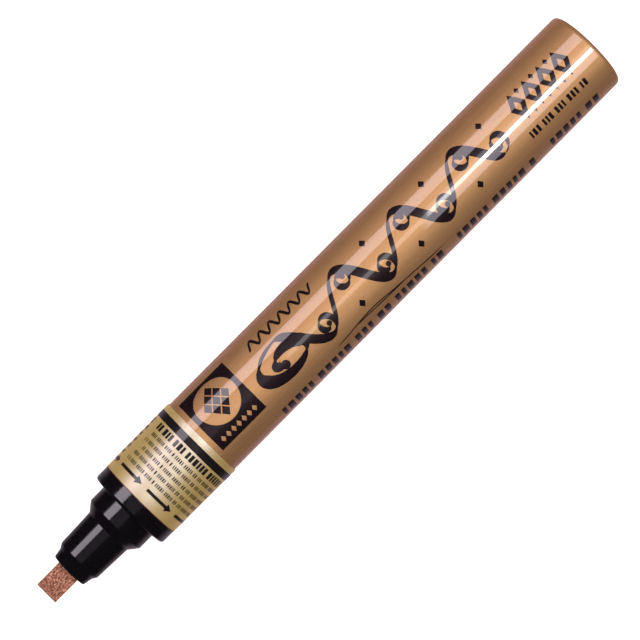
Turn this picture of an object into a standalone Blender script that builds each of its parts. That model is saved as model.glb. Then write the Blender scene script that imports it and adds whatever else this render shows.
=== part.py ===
"""A valve-action calligraphy paint marker with a 5 mm chisel nib, uncapped and lying on its side.

Metres, +Z up. The pen's axis runs along X: the nib points to -X and the barrel's closed end to +X.
The origin is under the middle of the pen's length, on the surface that it lies on.

Stations are distances along the axis, measured from the nib's writing edge.
"""

import math

import bmesh
import bpy
from mathutils import Matrix, Vector

# Driving dimensions of what shows from outside.
NIB_WIDTH = 0.0050
NIB_THICKNESS = 0.0025
NIB_EDGE = 0.0012
NIB_WEDGE = 0.0026
NIB_SHOWN = 0.0062
NOSE_CONE = 0.0030
NOSE_TAPER = 0.0078
NOSE_SHOULDER = 0.0019
NOSE_STEP = 0.0039
COLLAR_SHOWN = 0.0030
SEAL_LENGTH = 0.0175
BARREL_SHOWN = 0.1071

TIP_RADIUS = 0.00395
CONE_RADIUS = 0.0049
TAPER_RADIUS = 0.0052
STEP_RADIUS = 0.0067
COLLAR_RADIUS = 0.0091
COLLAR_CORNER = 0.0006
BARREL_RADIUS = 0.0090
BARREL_CORNER = 0.0009
BARREL_WALL = 0.00045
BARREL_END = 0.0012
BARREL_END_CORNER = 0.0006
SEAL_FRONT_RADIUS = 0.00922
SEAL_REAR_RADIUS = 0.00932
SEAL_INNER_RADIUS = 0.00905

# How far the nib travels when it is pressed.
NIB_TRAVEL = 0.0020

# Gaps: between fixed pieces that rest on each other, between thin ones, and round a sliding one.
SEAT_GAP = 0.0003
THIN_GAP = 0.00015
SLIDE_GAP = 0.0002

# Stations where the outside changes, from the nib's edge to the closed end.
TIP_FACE = NIB_SHOWN
CONE_END = TIP_FACE + NOSE_CONE
TAPER_END = CONE_END + NOSE_TAPER
SHOULDER_END = TAPER_END + NOSE_SHOULDER
COLLAR_FACE = SHOULDER_END + NOSE_STEP
SEAL_FRONT = COLLAR_FACE + COLLAR_SHOWN
SEAL_REAR = SEAL_FRONT + SEAL_LENGTH
LENGTH = SEAL_REAR + BARREL_SHOWN

# The nib's slot in the tip, the chamber behind it, and the slider's guide from the shoulder on.
SLOT_WIDTH = NIB_WIDTH + 2 * THIN_GAP
SLOT_THICKNESS = NIB_THICKNESS + 2 * THIN_GAP
SLOT_DEPTH = 0.0034
CHAMBER_RADIUS = 0.0039
GUIDE_RADIUS = 0.0053
NOSE_FLANGE_RADIUS = 0.0074
NOSE_FLANGE_LENGTH = 0.0022

# The collar, which holds the nose and the valve and plugs the barrel's mouth.
COLLAR_LIP = 0.0014
COLLAR_BORE = NOSE_FLANGE_RADIUS + SLIDE_GAP
COLLAR_NECK_LENGTH = 0.0085
COLLAR_NECK_RADIUS = 0.00875
SPIGOT_RADIUS = BARREL_RADIUS - BARREL_WALL - SLIDE_GAP
SPIGOT_LENGTH = 0.0138
GASKET_THICKNESS = 0.0006

NOSE_FLANGE = COLLAR_FACE + COLLAR_LIP + SEAT_GAP
NOSE_REAR = NOSE_FLANGE + NOSE_FLANGE_LENGTH
COLLAR_NECK = SEAL_FRONT - THIN_GAP
SPIGOT_FRONT = COLLAR_NECK + COLLAR_NECK_LENGTH
COLLAR_REAR = SPIGOT_FRONT + SPIGOT_LENGTH
BARREL_MOUTH = SPIGOT_FRONT + GASKET_THICKNESS + 2 * THIN_GAP

# The nib's slider and the ink buffer round the nib.
BUFFER_LENGTH = 0.0036
BUFFER_RADIUS = CHAMBER_RADIUS - SEAT_GAP
SLIDER_FLANGE_LENGTH = 0.0026
SLIDER_BOSS_LENGTH = 0.0025
SLIDER_BOSS_RADIUS = 0.0025
SLIDER_SOCKET = 0.0011
INK_CHANNEL_RADIUS = 0.0008
INK_CROSS_WIDTH = 0.0009
INK_CROSS_DEPTH = 0.0012

BUFFER_FRONT = TIP_FACE + SLOT_DEPTH + SEAT_GAP
SLIDER_FRONT = BUFFER_FRONT + BUFFER_LENGTH + SEAT_GAP
SLIDER_FLANGE = SHOULDER_END + SEAT_GAP
SLIDER_BOSS = SLIDER_FLANGE + SLIDER_FLANGE_LENGTH
SLIDER_REAR = SLIDER_BOSS + SLIDER_BOSS_LENGTH
NIB_REAR = SLIDER_FLANGE + SLIDER_SOCKET

# The valve: a wall with a port, a seat behind it, and the stem whose cone closes the seat.
VALVE_LENGTH = 0.0181
VALVE_POCKET = 0.0031
VALVE_WALL = 0.0025
VALVE_CHAMBER_RADIUS = 0.0052
VALVE_PORT_RADIUS = 0.0019
SEAT_THICKNESS = 0.0012
HEAD_CONE = 0.0013
HEAD_RIM = 0.0008
HEAD_RADIUS = 0.0034
ROD_RADIUS = 0.0011
ROD_TAIL = 0.0013
CAGE_THICKNESS = 0.0012
CAGE_PLUG = 0.0007
CAGE_PORTS = 4
CAGE_PORT_RADIUS = 0.0009
CAGE_PORT_CIRCLE = 0.0033

VALVE_FRONT = NOSE_REAR + GASKET_THICKNESS + 2 * SEAT_GAP
VALVE_WALL_FRONT = VALVE_FRONT + VALVE_POCKET
VALVE_WALL_REAR = VALVE_WALL_FRONT + VALVE_WALL
VALVE_REAR = VALVE_FRONT + VALVE_LENGTH
STEM_FRONT = SLIDER_REAR + SEAT_GAP
SEAT_FRONT = VALVE_WALL_REAR + SEAT_GAP
HEAD_FRONT = SEAT_FRONT + SEAT_THICKNESS
HEAD_REAR = HEAD_FRONT + HEAD_CONE + HEAD_RIM
CAGE_FRONT = VALVE_REAR - CAGE_PLUG
CAGE_FLANGE = VALVE_REAR + SEAT_GAP
CAGE_REAR = CAGE_FLANGE + CAGE_THICKNESS
STEM_REAR = CAGE_REAR + ROD_TAIL

# The valve's return spring. It stays longer than its closed length when the nib is pressed.
SPRING_WIRE = 0.0005
SPRING_RADIUS = 0.0025
SPRING_TURNS = 7
SPRING_FRONT = HEAD_REAR + SEAT_GAP
SPRING_REAR = CAGE_FRONT - SEAT_GAP
assert SPRING_REAR - SPRING_FRONT - NIB_TRAVEL > SPRING_TURNS * SPRING_WIRE

# The loose steel ball that stirs the ink, and where along the barrel it lies.
BALL_RADIUS = 0.0030
BALL_STATION = 0.1000

# Facets round a full turn, and steps in a rounded corner.
OUTER_SIDES = 40
INNER_SIDES = 24
CORNER_STEPS = 4
SHARP_ANGLE = math.radians(30)

# A flat facet's distance from the axis, as a share of the corner radius.
FLAT_SHARE = math.cos(math.pi / OUTER_SIDES)
AXIS_HEIGHT = SEAL_REAR_RADIUS * FLAT_SHARE

# Colour, roughness and metallic value of each material.
MATERIALS = {
    "bronze_lacquer": ((0.55, 0.31, 0.13), 0.30, 0.9),
    "gold_foil": ((0.78, 0.60, 0.30), 0.35, 0.9),
    "black_plastic": ((0.012, 0.011, 0.014), 0.22, 0.0),
    "inked_felt": ((0.48, 0.21, 0.12), 0.70, 0.3),
    "natural_plastic": ((0.80, 0.80, 0.76), 0.40, 0.0),
    "grey_rubber": ((0.10, 0.10, 0.10), 0.80, 0.0),
    "spring_steel": ((0.62, 0.62, 0.64), 0.25, 1.0),
    "ball_steel": ((0.70, 0.70, 0.72), 0.12, 1.0),
}


def clear_scene():
    for obj in list(bpy.data.objects):
        bpy.data.objects.remove(obj, do_unlink=True)


def new_collection(name):
    collection = bpy.data.collections.new(name)
    bpy.context.scene.collection.children.link(collection)
    return collection


def make_materials():
    for name, (colour, roughness, metallic) in MATERIALS.items():
        material = bpy.data.materials.new(name)
        material.use_nodes = True
        shader = material.node_tree.nodes["Principled BSDF"]
        shader.inputs["Base Color"].default_value = (*colour, 1.0)
        shader.inputs["Roughness"].default_value = roughness
        shader.inputs["Metallic"].default_value = metallic


def add_empty(name, parent=None):
    empty = bpy.data.objects.new(name, None)
    parts.objects.link(empty)
    empty.parent = parent
    return empty


def add_object(name, data, parent, material=None):
    obj = bpy.data.objects.new(name, data)
    parts.objects.link(obj)
    obj.parent = parent
    if material:
        data.materials.append(bpy.data.materials[material])
    return obj


def add_cutter(name, data, parent):
    obj = bpy.data.objects.new(name, data)
    cutters.objects.link(obj)
    obj.parent = parent
    obj.hide_render = True
    obj.display_type = "WIRE"
    return obj


def settle(obj):
    """Turns an object's modifiers into its mesh, and shades its round faces smooth."""
    bpy.context.view_layer.update()
    graph = bpy.context.evaluated_depsgraph_get()
    mesh = bpy.data.meshes.new_from_object(obj.evaluated_get(graph))
    obj.modifiers.clear()
    obj.data = mesh
    mesh.shade_smooth()
    mesh.set_sharp_from_angle(angle=SHARP_ANGLE)


def rounded(outline):
    """An outline of (station, radius) or (station, radius, corner radius), its corners as arcs."""
    points = [Vector(point[:2]) for point in outline]
    found = []
    for i, point in enumerate(outline):
        corner = points[i]
        if len(point) < 3:
            found.append(corner)
            continue
        before = (points[i - 1] - corner).normalized()
        after = (points[(i + 1) % len(points)] - corner).normalized()
        half = before.angle(after) / 2
        centre = corner + (before + after).normalized() * point[2] / math.sin(half)
        start = corner + before * point[2] / math.tan(half) - centre
        end = corner + after * point[2] / math.tan(half) - centre
        for step in range(CORNER_STEPS + 1):
            found.append(centre + start.slerp(end, step / CORNER_STEPS) * point[2])
    return found


def turned(name, outer, inner, parent, material, sides=OUTER_SIDES):
    """A turned piece. The outer and inner outlines both run from the nib's end to the closed end.

    An outline's points at radius 0 lie on the axis, and the outline is open between them.
    """
    outline = rounded(list(reversed(outer)) + list(inner))
    edges = []
    for i, point in enumerate(outline):
        j = (i + 1) % len(outline)
        if point.y > 0 or outline[j].y > 0:
            edges.append((i, j))
    mesh = bpy.data.meshes.new(name)
    mesh.from_pydata([(point.y, 0, point.x) for point in outline], edges, [])
    obj = add_object(name, mesh, parent)
    # Half a facet's turn lays a flat facet at the bottom.
    obj.rotation_euler.z = math.pi / sides
    screw = obj.modifiers.new("turn", "SCREW")
    screw.axis = "Z"
    screw.steps = screw.render_steps = sides
    screw.use_merge_vertices = True
    screw.merge_threshold = 0.00001
    settle(obj)
    obj.data.materials.append(bpy.data.materials[material])
    return obj


def box_mesh(name, size, front):
    """A box centred on the axis: size is (thickness, width, length), and front its first station."""
    mesh = bpy.data.meshes.new(name)
    bm = bmesh.new()
    bmesh.ops.create_cube(bm, size=1)
    bmesh.ops.scale(bm, vec=size, verts=bm.verts)
    bmesh.ops.translate(bm, vec=(0, 0, front + size[2] / 2), verts=bm.verts)
    bm.to_mesh(mesh)
    bm.free()
    return mesh


def rod_mesh(name, radius, front, length):
    mesh = bpy.data.meshes.new(name)
    bm = bmesh.new()
    bmesh.ops.create_cone(
        bm, cap_ends=True, segments=INNER_SIDES, radius1=radius, radius2=radius, depth=length
    )
    bmesh.ops.translate(bm, vec=(0, 0, front + length / 2), verts=bm.verts)
    bm.to_mesh(mesh)
    bm.free()
    return mesh


def cut(obj, cutter):
    boolean = obj.modifiers.new(cutter.name, "BOOLEAN")
    boolean.operation = "DIFFERENCE"
    boolean.object = cutter


def cut_slot(obj, front, rear, parent):
    """Cuts the nib's rectangular section out of a piece, from one station to another."""
    name = obj.name + "_slot"
    mesh = box_mesh(name, (SLOT_THICKNESS, SLOT_WIDTH, rear - front), front)
    cut(obj, add_cutter(name, mesh, parent))


def make_barrel(parent):
    """A deep-drawn aluminium tube, open at the mouth and closed by its flat end."""
    inside = BARREL_RADIUS - BARREL_WALL
    floor = LENGTH - BARREL_END
    outer = [(BARREL_MOUTH, BARREL_RADIUS), (LENGTH, BARREL_RADIUS, BARREL_CORNER)]
    inner = [(BARREL_MOUTH, inside), (floor, inside, BARREL_END_CORNER), (floor, 0), (LENGTH, 0)]
    return turned("barrel", outer, inner, parent, "bronze_lacquer")


def make_seal_band(parent):
    """The foil strip wrapped over the joint of collar and barrel, a little wider at the rear."""
    outer = [(SEAL_FRONT, SEAL_FRONT_RADIUS), (SEAL_REAR, SEAL_REAR_RADIUS)]
    inner = [(SEAL_FRONT, SEAL_INNER_RADIUS), (SEAL_REAR, SEAL_INNER_RADIUS)]
    return turned("seal_band", outer, inner, parent, "gold_foil")


def make_collar(parent):
    lip_radius = STEP_RADIUS + SLIDE_GAP
    outer = [
        (COLLAR_FACE, COLLAR_RADIUS, COLLAR_CORNER),
        (COLLAR_NECK, COLLAR_RADIUS),
        (COLLAR_NECK, COLLAR_NECK_RADIUS),
        (SPIGOT_FRONT, COLLAR_NECK_RADIUS),
        (SPIGOT_FRONT, SPIGOT_RADIUS),
        (COLLAR_REAR, SPIGOT_RADIUS),
    ]
    inner = [
        (COLLAR_FACE, lip_radius),
        (COLLAR_FACE + COLLAR_LIP, lip_radius),
        (COLLAR_FACE + COLLAR_LIP, COLLAR_BORE),
        (COLLAR_REAR, COLLAR_BORE),
    ]
    return turned("collar", outer, inner, parent, "black_plastic")


def make_nose_holder(parent):
    """The stepped front piece. Its tip has the nib's slot, and its flange is held by the collar."""
    chamber = TIP_FACE + SLOT_DEPTH
    outer = [
        (TIP_FACE, TIP_RADIUS),
        (CONE_END, CONE_RADIUS),
        (TAPER_END, TAPER_RADIUS),
        (SHOULDER_END, STEP_RADIUS),
        (NOSE_FLANGE, STEP_RADIUS),
        (NOSE_FLANGE, NOSE_FLANGE_RADIUS),
        (NOSE_REAR, NOSE_FLANGE_RADIUS),
    ]
    inner = [
        (TIP_FACE, 0),
        (chamber, 0),
        (chamber, CHAMBER_RADIUS),
        (SHOULDER_END, CHAMBER_RADIUS),
        (SHOULDER_END, GUIDE_RADIUS),
        (NOSE_REAR, GUIDE_RADIUS),
    ]
    nose = turned("nose_holder", outer, inner, parent, "black_plastic")
    cut_slot(nose, TIP_FACE - SEAT_GAP, chamber + SEAT_GAP, parent)
    return nose


def make_nib(parent):
    """A felt slab that narrows to its writing edge. The outline is its side view."""
    side = [(0, NIB_EDGE / 2), (NIB_WEDGE, NIB_THICKNESS / 2), (NIB_REAR, NIB_THICKNESS / 2)]
    outline = side + [(station, -half) for station, half in reversed(side)]
    curve = bpy.data.curves.new("nib", "CURVE")
    curve.dimensions = "2D"
    curve.fill_mode = "BOTH"
    curve.extrude = NIB_WIDTH / 2
    spline = curve.splines.new("POLY")
    spline.points.add(len(outline) - 1)
    for point, (station, half) in zip(spline.points, outline):
        point.co = (station, half, 0, 1)
    spline.use_cyclic_u = True
    nib = add_object("nib", curve, parent, "inked_felt")
    # The curve's X, Y and Z become the axis, the thickness and the width.
    nib.matrix_local = Matrix(((0, 1, 0, 0), (0, 0, 1, 0), (1, 0, 0, 0), (0, 0, 0, 1)))
    return nib


def make_ink_buffer(parent):
    """A ring of felt in the nose, which takes up ink that runs past the nib."""
    rear = BUFFER_FRONT + BUFFER_LENGTH
    outer = [(BUFFER_FRONT, BUFFER_RADIUS), (rear, BUFFER_RADIUS)]
    inner = [(BUFFER_FRONT, 0), (rear, 0)]
    ring = turned("ink_buffer", outer, inner, parent, "inked_felt", INNER_SIDES)
    cut_slot(ring, BUFFER_FRONT - SEAT_GAP, rear + SEAT_GAP, parent)
    return ring


def make_nib_slider(parent):
    """The carrier that grips the nib's rear end, slides in the nose and pushes the valve's stem.

    Ink enters at the cross cut in its rear boss and runs down its channel to the nib.
    """
    body_radius = CHAMBER_RADIUS - SLIDE_GAP
    flange_radius = GUIDE_RADIUS - SEAT_GAP
    outer = [
        (SLIDER_FRONT, body_radius),
        (SLIDER_FLANGE, body_radius),
        (SLIDER_FLANGE, flange_radius),
        (SLIDER_BOSS, flange_radius),
        (SLIDER_BOSS, SLIDER_BOSS_RADIUS),
        (SLIDER_REAR, SLIDER_BOSS_RADIUS),
    ]
    inner = [(SLIDER_FRONT, INK_CHANNEL_RADIUS), (SLIDER_REAR, INK_CHANNEL_RADIUS)]
    slider = turned("nib_slider", outer, inner, parent, "natural_plastic", INNER_SIDES)
    cut_slot(slider, SLIDER_FRONT - SEAT_GAP, NIB_REAR + SEAT_GAP, parent)
    across = 3 * SLIDER_BOSS_RADIUS
    for name, size in (
        ("ink_cross_upright", (across, INK_CROSS_WIDTH)),
        ("ink_cross_level", (INK_CROSS_WIDTH, across)),
    ):
        mesh = box_mesh(name, (*size, 2 * INK_CROSS_DEPTH), SLIDER_REAR - INK_CROSS_DEPTH)
        cut(slider, add_cutter(name, mesh, parent))
    return slider


def make_washer(name, front, thickness, bore, radius, parent, sides=INNER_SIDES):
    rear = front + thickness
    outer = [(front, radius), (rear, radius)]
    inner = [(front, bore), (rear, bore)]
    return turned(name, outer, inner, parent, "grey_rubber", sides)


def make_gaskets(parent):
    nose_front = NOSE_REAR + SEAT_GAP
    nose_bore = GUIDE_RADIUS + SEAT_GAP
    nose_radius = COLLAR_BORE - 2 * SLIDE_GAP
    make_washer("nose_gasket", nose_front, GASKET_THICKNESS, nose_bore, nose_radius, parent)
    barrel_front = SPIGOT_FRONT + THIN_GAP
    barrel_bore = SPIGOT_RADIUS + THIN_GAP
    make_washer(
        "barrel_gasket",
        barrel_front,
        GASKET_THICKNESS,
        barrel_bore,
        COLLAR_NECK_RADIUS,
        parent,
        OUTER_SIDES,
    )


def make_valve_body(parent):
    """A sleeve in the collar's bore, with a wall across it that the ink passes at the port."""
    outer = [(VALVE_FRONT, NOSE_FLANGE_RADIUS), (VALVE_REAR, NOSE_FLANGE_RADIUS)]
    inner = [
        (VALVE_FRONT, GUIDE_RADIUS),
        (VALVE_WALL_FRONT, GUIDE_RADIUS),
        (VALVE_WALL_FRONT, VALVE_PORT_RADIUS),
        (VALVE_WALL_REAR, VALVE_PORT_RADIUS),
        (VALVE_WALL_REAR, VALVE_CHAMBER_RADIUS),
        (VALVE_REAR, VALVE_CHAMBER_RADIUS),
    ]
    return turned("valve_body", outer, inner, parent, "natural_plastic")


def make_valve_seat(parent):
    """The rubber ring that the stem's cone closes on."""
    radius = VALVE_CHAMBER_RADIUS - SEAT_GAP
    return make_washer(
        "valve_seat", SEAT_FRONT, SEAT_THICKNESS, VALVE_PORT_RADIUS, radius, parent
    )


def make_valve_stem(parent):
    """The rod that the slider pushes. Its cone closes the seat from behind."""
    outer = [
        (STEM_FRONT, ROD_RADIUS),
        (HEAD_FRONT, ROD_RADIUS),
        (HEAD_FRONT + HEAD_CONE, HEAD_RADIUS),
        (HEAD_REAR, HEAD_RADIUS),
        (HEAD_REAR, ROD_RADIUS),
        (STEM_REAR, ROD_RADIUS),
    ]
    inner = [(STEM_FRONT, 0), (STEM_REAR, 0)]
    return turned("valve_stem", outer, inner, parent, "natural_plastic", INNER_SIDES)


def make_valve_cage(parent):
    """The cap behind the spring. It guides the stem and lets the ink in through its ports."""
    plug_radius = VALVE_CHAMBER_RADIUS - SLIDE_GAP
    rim_radius = NOSE_FLANGE_RADIUS - SLIDE_GAP
    guide_radius = ROD_RADIUS + SLIDE_GAP
    outer = [
        (CAGE_FRONT, plug_radius),
        (CAGE_FLANGE, plug_radius),
        (CAGE_FLANGE, rim_radius),
        (CAGE_REAR, rim_radius),
    ]
    inner = [(CAGE_FRONT, guide_radius), (CAGE_REAR, guide_radius)]
    cage = turned("valve_cage", outer, inner, parent, "natural_plastic", INNER_SIDES)
    port_front = CAGE_FRONT - SEAT_GAP
    port_length = CAGE_REAR + SEAT_GAP - port_front
    for i in range(CAGE_PORTS):
        name = f"cage_port_{i + 1}"
        mesh = rod_mesh(name, CAGE_PORT_RADIUS, port_front, port_length)
        port = add_cutter(name, mesh, parent)
        turn = 2 * math.pi * (i + 0.5) / CAGE_PORTS
        port.location.x = CAGE_PORT_CIRCLE * math.cos(turn)
        port.location.y = CAGE_PORT_CIRCLE * math.sin(turn)
        cut(cage, port)
    return cage


def spring_rise(share):
    """How far along the spring a point is: the end turns lie close, and the others stand apart."""
    close = 1 / SPRING_TURNS
    closed_rise = 1.2 * SPRING_WIRE / (SPRING_REAR - SPRING_FRONT - SPRING_WIRE)
    if share < close:
        return share / close * closed_rise
    if share > 1 - close:
        return 1 - (1 - share) / close * closed_rise
    middle = (share - close) / (1 - 2 * close)
    return closed_rise + middle * (1 - 2 * closed_rise)


def make_valve_spring(parent):
    curve = bpy.data.curves.new("valve_spring", "CURVE")
    curve.dimensions = "3D"
    curve.bevel_depth = SPRING_WIRE / 2
    curve.bevel_resolution = 2
    curve.use_fill_caps = True
    count = SPRING_TURNS * 14
    spline = curve.splines.new("POLY")
    spline.points.add(count)
    start = SPRING_FRONT + SPRING_WIRE / 2
    span = SPRING_REAR - SPRING_FRONT - SPRING_WIRE
    for i, point in enumerate(spline.points):
        turn = 2 * math.pi * SPRING_TURNS * i / count
        rise = start + span * spring_rise(i / count)
        point.co = (SPRING_RADIUS * math.cos(turn), SPRING_RADIUS * math.sin(turn), rise, 1)
    return add_object("valve_spring", curve, parent, "spring_steel")


def make_mixing_ball(parent):
    mesh = bpy.data.meshes.new("mixing_ball")
    bm = bmesh.new()
    bmesh.ops.create_uvsphere(bm, u_segments=20, v_segments=12, radius=BALL_RADIUS)
    bm.to_mesh(mesh)
    bm.free()
    mesh.shade_smooth()
    return add_object("mixing_ball", mesh, parent, "ball_steel")


def build():
    # In the axis empty, Z is the station along the pen, Y its width and X points down.
    axis = add_empty("pen_axis")
    axis.location = (-LENGTH / 2, 0, AXIS_HEIGHT)
    axis.rotation_euler.y = math.pi / 2

    make_barrel(axis)
    make_seal_band(axis)
    make_collar(axis)
    make_nose_holder(axis)
    make_ink_buffer(axis)
    make_gaskets(axis)
    make_valve_body(axis)
    make_valve_seat(axis)
    make_valve_cage(axis)
    make_valve_spring(axis)

    # The nib, its slider and the valve's stem move together along the axis.
    press = add_empty("nib_press_axis", axis)
    make_nib(press)
    make_nib_slider(press)
    make_valve_stem(press)

    # The ball rests at the bottom of the barrel and rolls along it.
    track = add_empty("ball_track", axis)
    barrel_bottom = (BARREL_RADIUS - BARREL_WALL) * FLAT_SHARE
    track.location = (barrel_bottom - BALL_RADIUS - THIN_GAP, 0, BALL_STATION)
    make_mixing_ball(track)


clear_scene()
parts = new_collection("calligraphy_marker")
cutters = new_collection("cutters")
make_materials()
build()
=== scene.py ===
"""The looks of the calligraphy marker: finished pieces, prints, materials, light and camera.

Lengths are in metres, in the CAD's frame: X along the pen from nib to closed end, Z up. The pen
lies on the floor with its print upwards. The prints are drawn flat, in millimetres, and then bent.
"""

import math

import bmesh
import bpy
from mathutils import Matrix, Vector, noise


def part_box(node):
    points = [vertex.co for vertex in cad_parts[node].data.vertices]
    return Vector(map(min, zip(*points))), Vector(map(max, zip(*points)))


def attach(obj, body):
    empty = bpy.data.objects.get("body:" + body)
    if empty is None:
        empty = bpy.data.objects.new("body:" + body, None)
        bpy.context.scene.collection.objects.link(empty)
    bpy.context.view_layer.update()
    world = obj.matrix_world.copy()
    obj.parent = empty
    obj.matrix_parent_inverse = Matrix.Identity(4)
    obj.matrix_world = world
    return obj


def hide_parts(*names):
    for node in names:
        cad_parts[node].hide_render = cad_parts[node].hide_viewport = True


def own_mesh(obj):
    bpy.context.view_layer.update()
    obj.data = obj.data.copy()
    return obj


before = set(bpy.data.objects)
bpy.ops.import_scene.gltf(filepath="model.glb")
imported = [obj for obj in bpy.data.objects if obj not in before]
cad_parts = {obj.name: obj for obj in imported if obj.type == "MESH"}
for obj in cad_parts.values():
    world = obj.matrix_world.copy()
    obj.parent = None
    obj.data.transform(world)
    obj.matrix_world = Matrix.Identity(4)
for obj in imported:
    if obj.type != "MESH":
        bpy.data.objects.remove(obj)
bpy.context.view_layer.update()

MM = 0.001

# The frame's own places.
NIB_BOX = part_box("nib")
NOSE_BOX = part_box("nose_holder")
COLLAR_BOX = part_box("collar")
SEAL_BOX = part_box("seal_band")
BARREL_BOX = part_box("barrel")
SPRING_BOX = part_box("valve_spring")
AXIS_Z = (BARREL_BOX[0].z + BARREL_BOX[1].z) / 2
BARREL_RADIUS = (BARREL_BOX[1].y - BARREL_BOX[0].y) / 2
SEAL_RADIUS = (SEAL_BOX[1].y - SEAL_BOX[0].y) / 2

# The foil. It leaves room for its cut edge in front, it is slimmer there by its flare, and its film
# lies a little under the seal's outer face.
FOIL_FRONT = SEAL_BOX[0].x + 0.35 * MM
FOIL_REAR = SEAL_BOX[1].x - 0.3 * MM
FOIL_FLARE = 0.1 * MM
FOIL_SINK = 0.06 * MM

# Facets round a turned piece and along a rounded corner, and the angle from which an edge is sharp.
SIDES = 144
CORNER_STEPS = 6
SHARP_ANGLE = math.radians(32)
# How far from the ends of a plain stretch its extra rings stand.
HOLD = 0.04 * MM

# A print's face stands this far off what it is on. Its underside and the step from one layer to
# the next are shares of that.
PRINT_RAISE = 0.02 * MM
UNDERSIDE_SHARE = 0.2
LAYER_SHARE = 0.04
BEND_STEP = math.radians(3)


# ---------------------------------------------------------------------------------------------
# Turned and lofted pieces
# ---------------------------------------------------------------------------------------------


def rounded(outline):
    """Turns (x, radius) or (x, radius, corner radius) points into an outline with round corners."""
    points = [Vector(point[:2]) for point in outline]
    found = []
    for i, point in enumerate(outline):
        corner = points[i]
        if len(point) < 3:
            found.append(corner)
            continue
        before = (points[i - 1] - corner).normalized()
        after = (points[(i + 1) % len(points)] - corner).normalized()
        half = before.angle(after) / 2
        centre = corner + (before + after).normalized() * point[2] / math.sin(half)
        start = corner + before * point[2] / math.tan(half) - centre
        end = corner + after * point[2] / math.tan(half) - centre
        for step in range(CORNER_STEPS + 1):
            found.append(centre + start.slerp(end, step / CORNER_STEPS) * point[2])
    return [tuple(point) for point in found]


def box_radius(turn, half_width, half_height, corner):
    """The distance from the middle of a rounded rectangle to its edge, at an angle."""
    across, up = abs(math.sin(turn)), abs(math.cos(turn))
    flat_width, flat_height = half_width - corner, half_height - corner
    to_side = half_width / across if across > 1e-9 else math.inf
    to_top = half_height / up if up > 1e-9 else math.inf
    reach = min(to_side, to_top)
    if reach * across <= flat_width or reach * up <= flat_height:
        return reach
    along = flat_width * across + flat_height * up
    off = flat_width**2 + flat_height**2 - corner**2
    return along + math.sqrt(max(along**2 - off, 0))


def held(rings, closed):
    """Adds rings just inside the ends of long plain stretches, so that their shading stays flat."""
    found = []
    for i, (x, section) in enumerate(rings):
        found.append((x, section))
        if i + 1 == len(rings) and not closed:
            break
        next_x, next_section = rings[(i + 1) % len(rings)]
        if callable(section) or callable(next_section) or section == next_section == 0:
            continue
        length = math.hypot(next_x - x, next_section - section)
        if length > 12 * HOLD:
            for share in (HOLD / length, 1 - HOLD / length):
                between = section + (next_section - section) * share
                found.append((x + (next_x - x) * share, between))
    return found


def loft(name, rings, material, body, replaced=(), closed=True, sides=SIDES):
    """A piece from rings along the pen.

    A ring is (x, section), and its section is a radius or a function of the angle. A closed loft
    joins its last ring to its first. A ring of radius 0 is one point on the axis.
    """
    bm = bmesh.new()
    loops = []
    for x, section in held(rings, closed):
        if section == 0:
            loops.append([bm.verts.new((x, 0, AXIS_Z))])
            continue
        loop = []
        for i in range(sides):
            turn = 2 * math.pi * i / sides
            radius = section(turn) if callable(section) else section
            place = (x, radius * math.sin(turn), AXIS_Z + radius * math.cos(turn))
            loop.append(bm.verts.new(place))
        loops.append(loop)
    pairs = list(zip(loops, loops[1:]))
    if closed:
        pairs.append((loops[-1], loops[0]))
    for first, second in pairs:
        for i in range(sides):
            j = (i + 1) % sides
            corners = [first[i % len(first)], first[j % len(first)]]
            corners += [second[j % len(second)], second[i % len(second)]]
            corners = list(dict.fromkeys(corners))
            if len(corners) > 2:
                bm.faces.new(corners)
    bmesh.ops.recalc_face_normals(bm, faces=bm.faces)
    return piece(name, bm, material, body, replaced)


def piece(name, bm, material, body, replaced=()):
    """Turns a bmesh into a shaded piece that rides on a CAD body."""
    mesh = bpy.data.meshes.new(name)
    bm.to_mesh(mesh)
    bm.free()
    mesh.shade_smooth()
    mesh.set_sharp_from_angle(angle=SHARP_ANGLE)
    mesh.materials.append(material)
    obj = bpy.data.objects.new(name, mesh)
    bpy.context.scene.collection.objects.link(obj)
    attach(obj, body)
    # Blender adds a number to a name that one of the frame's materials has.
    if replaced:
        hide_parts(*replaced)
    return obj


# ---------------------------------------------------------------------------------------------
# Materials
# ---------------------------------------------------------------------------------------------


# Clear coats and glossy plastic mirror a little more than common ones.
COAT_IOR = 1.7


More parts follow.
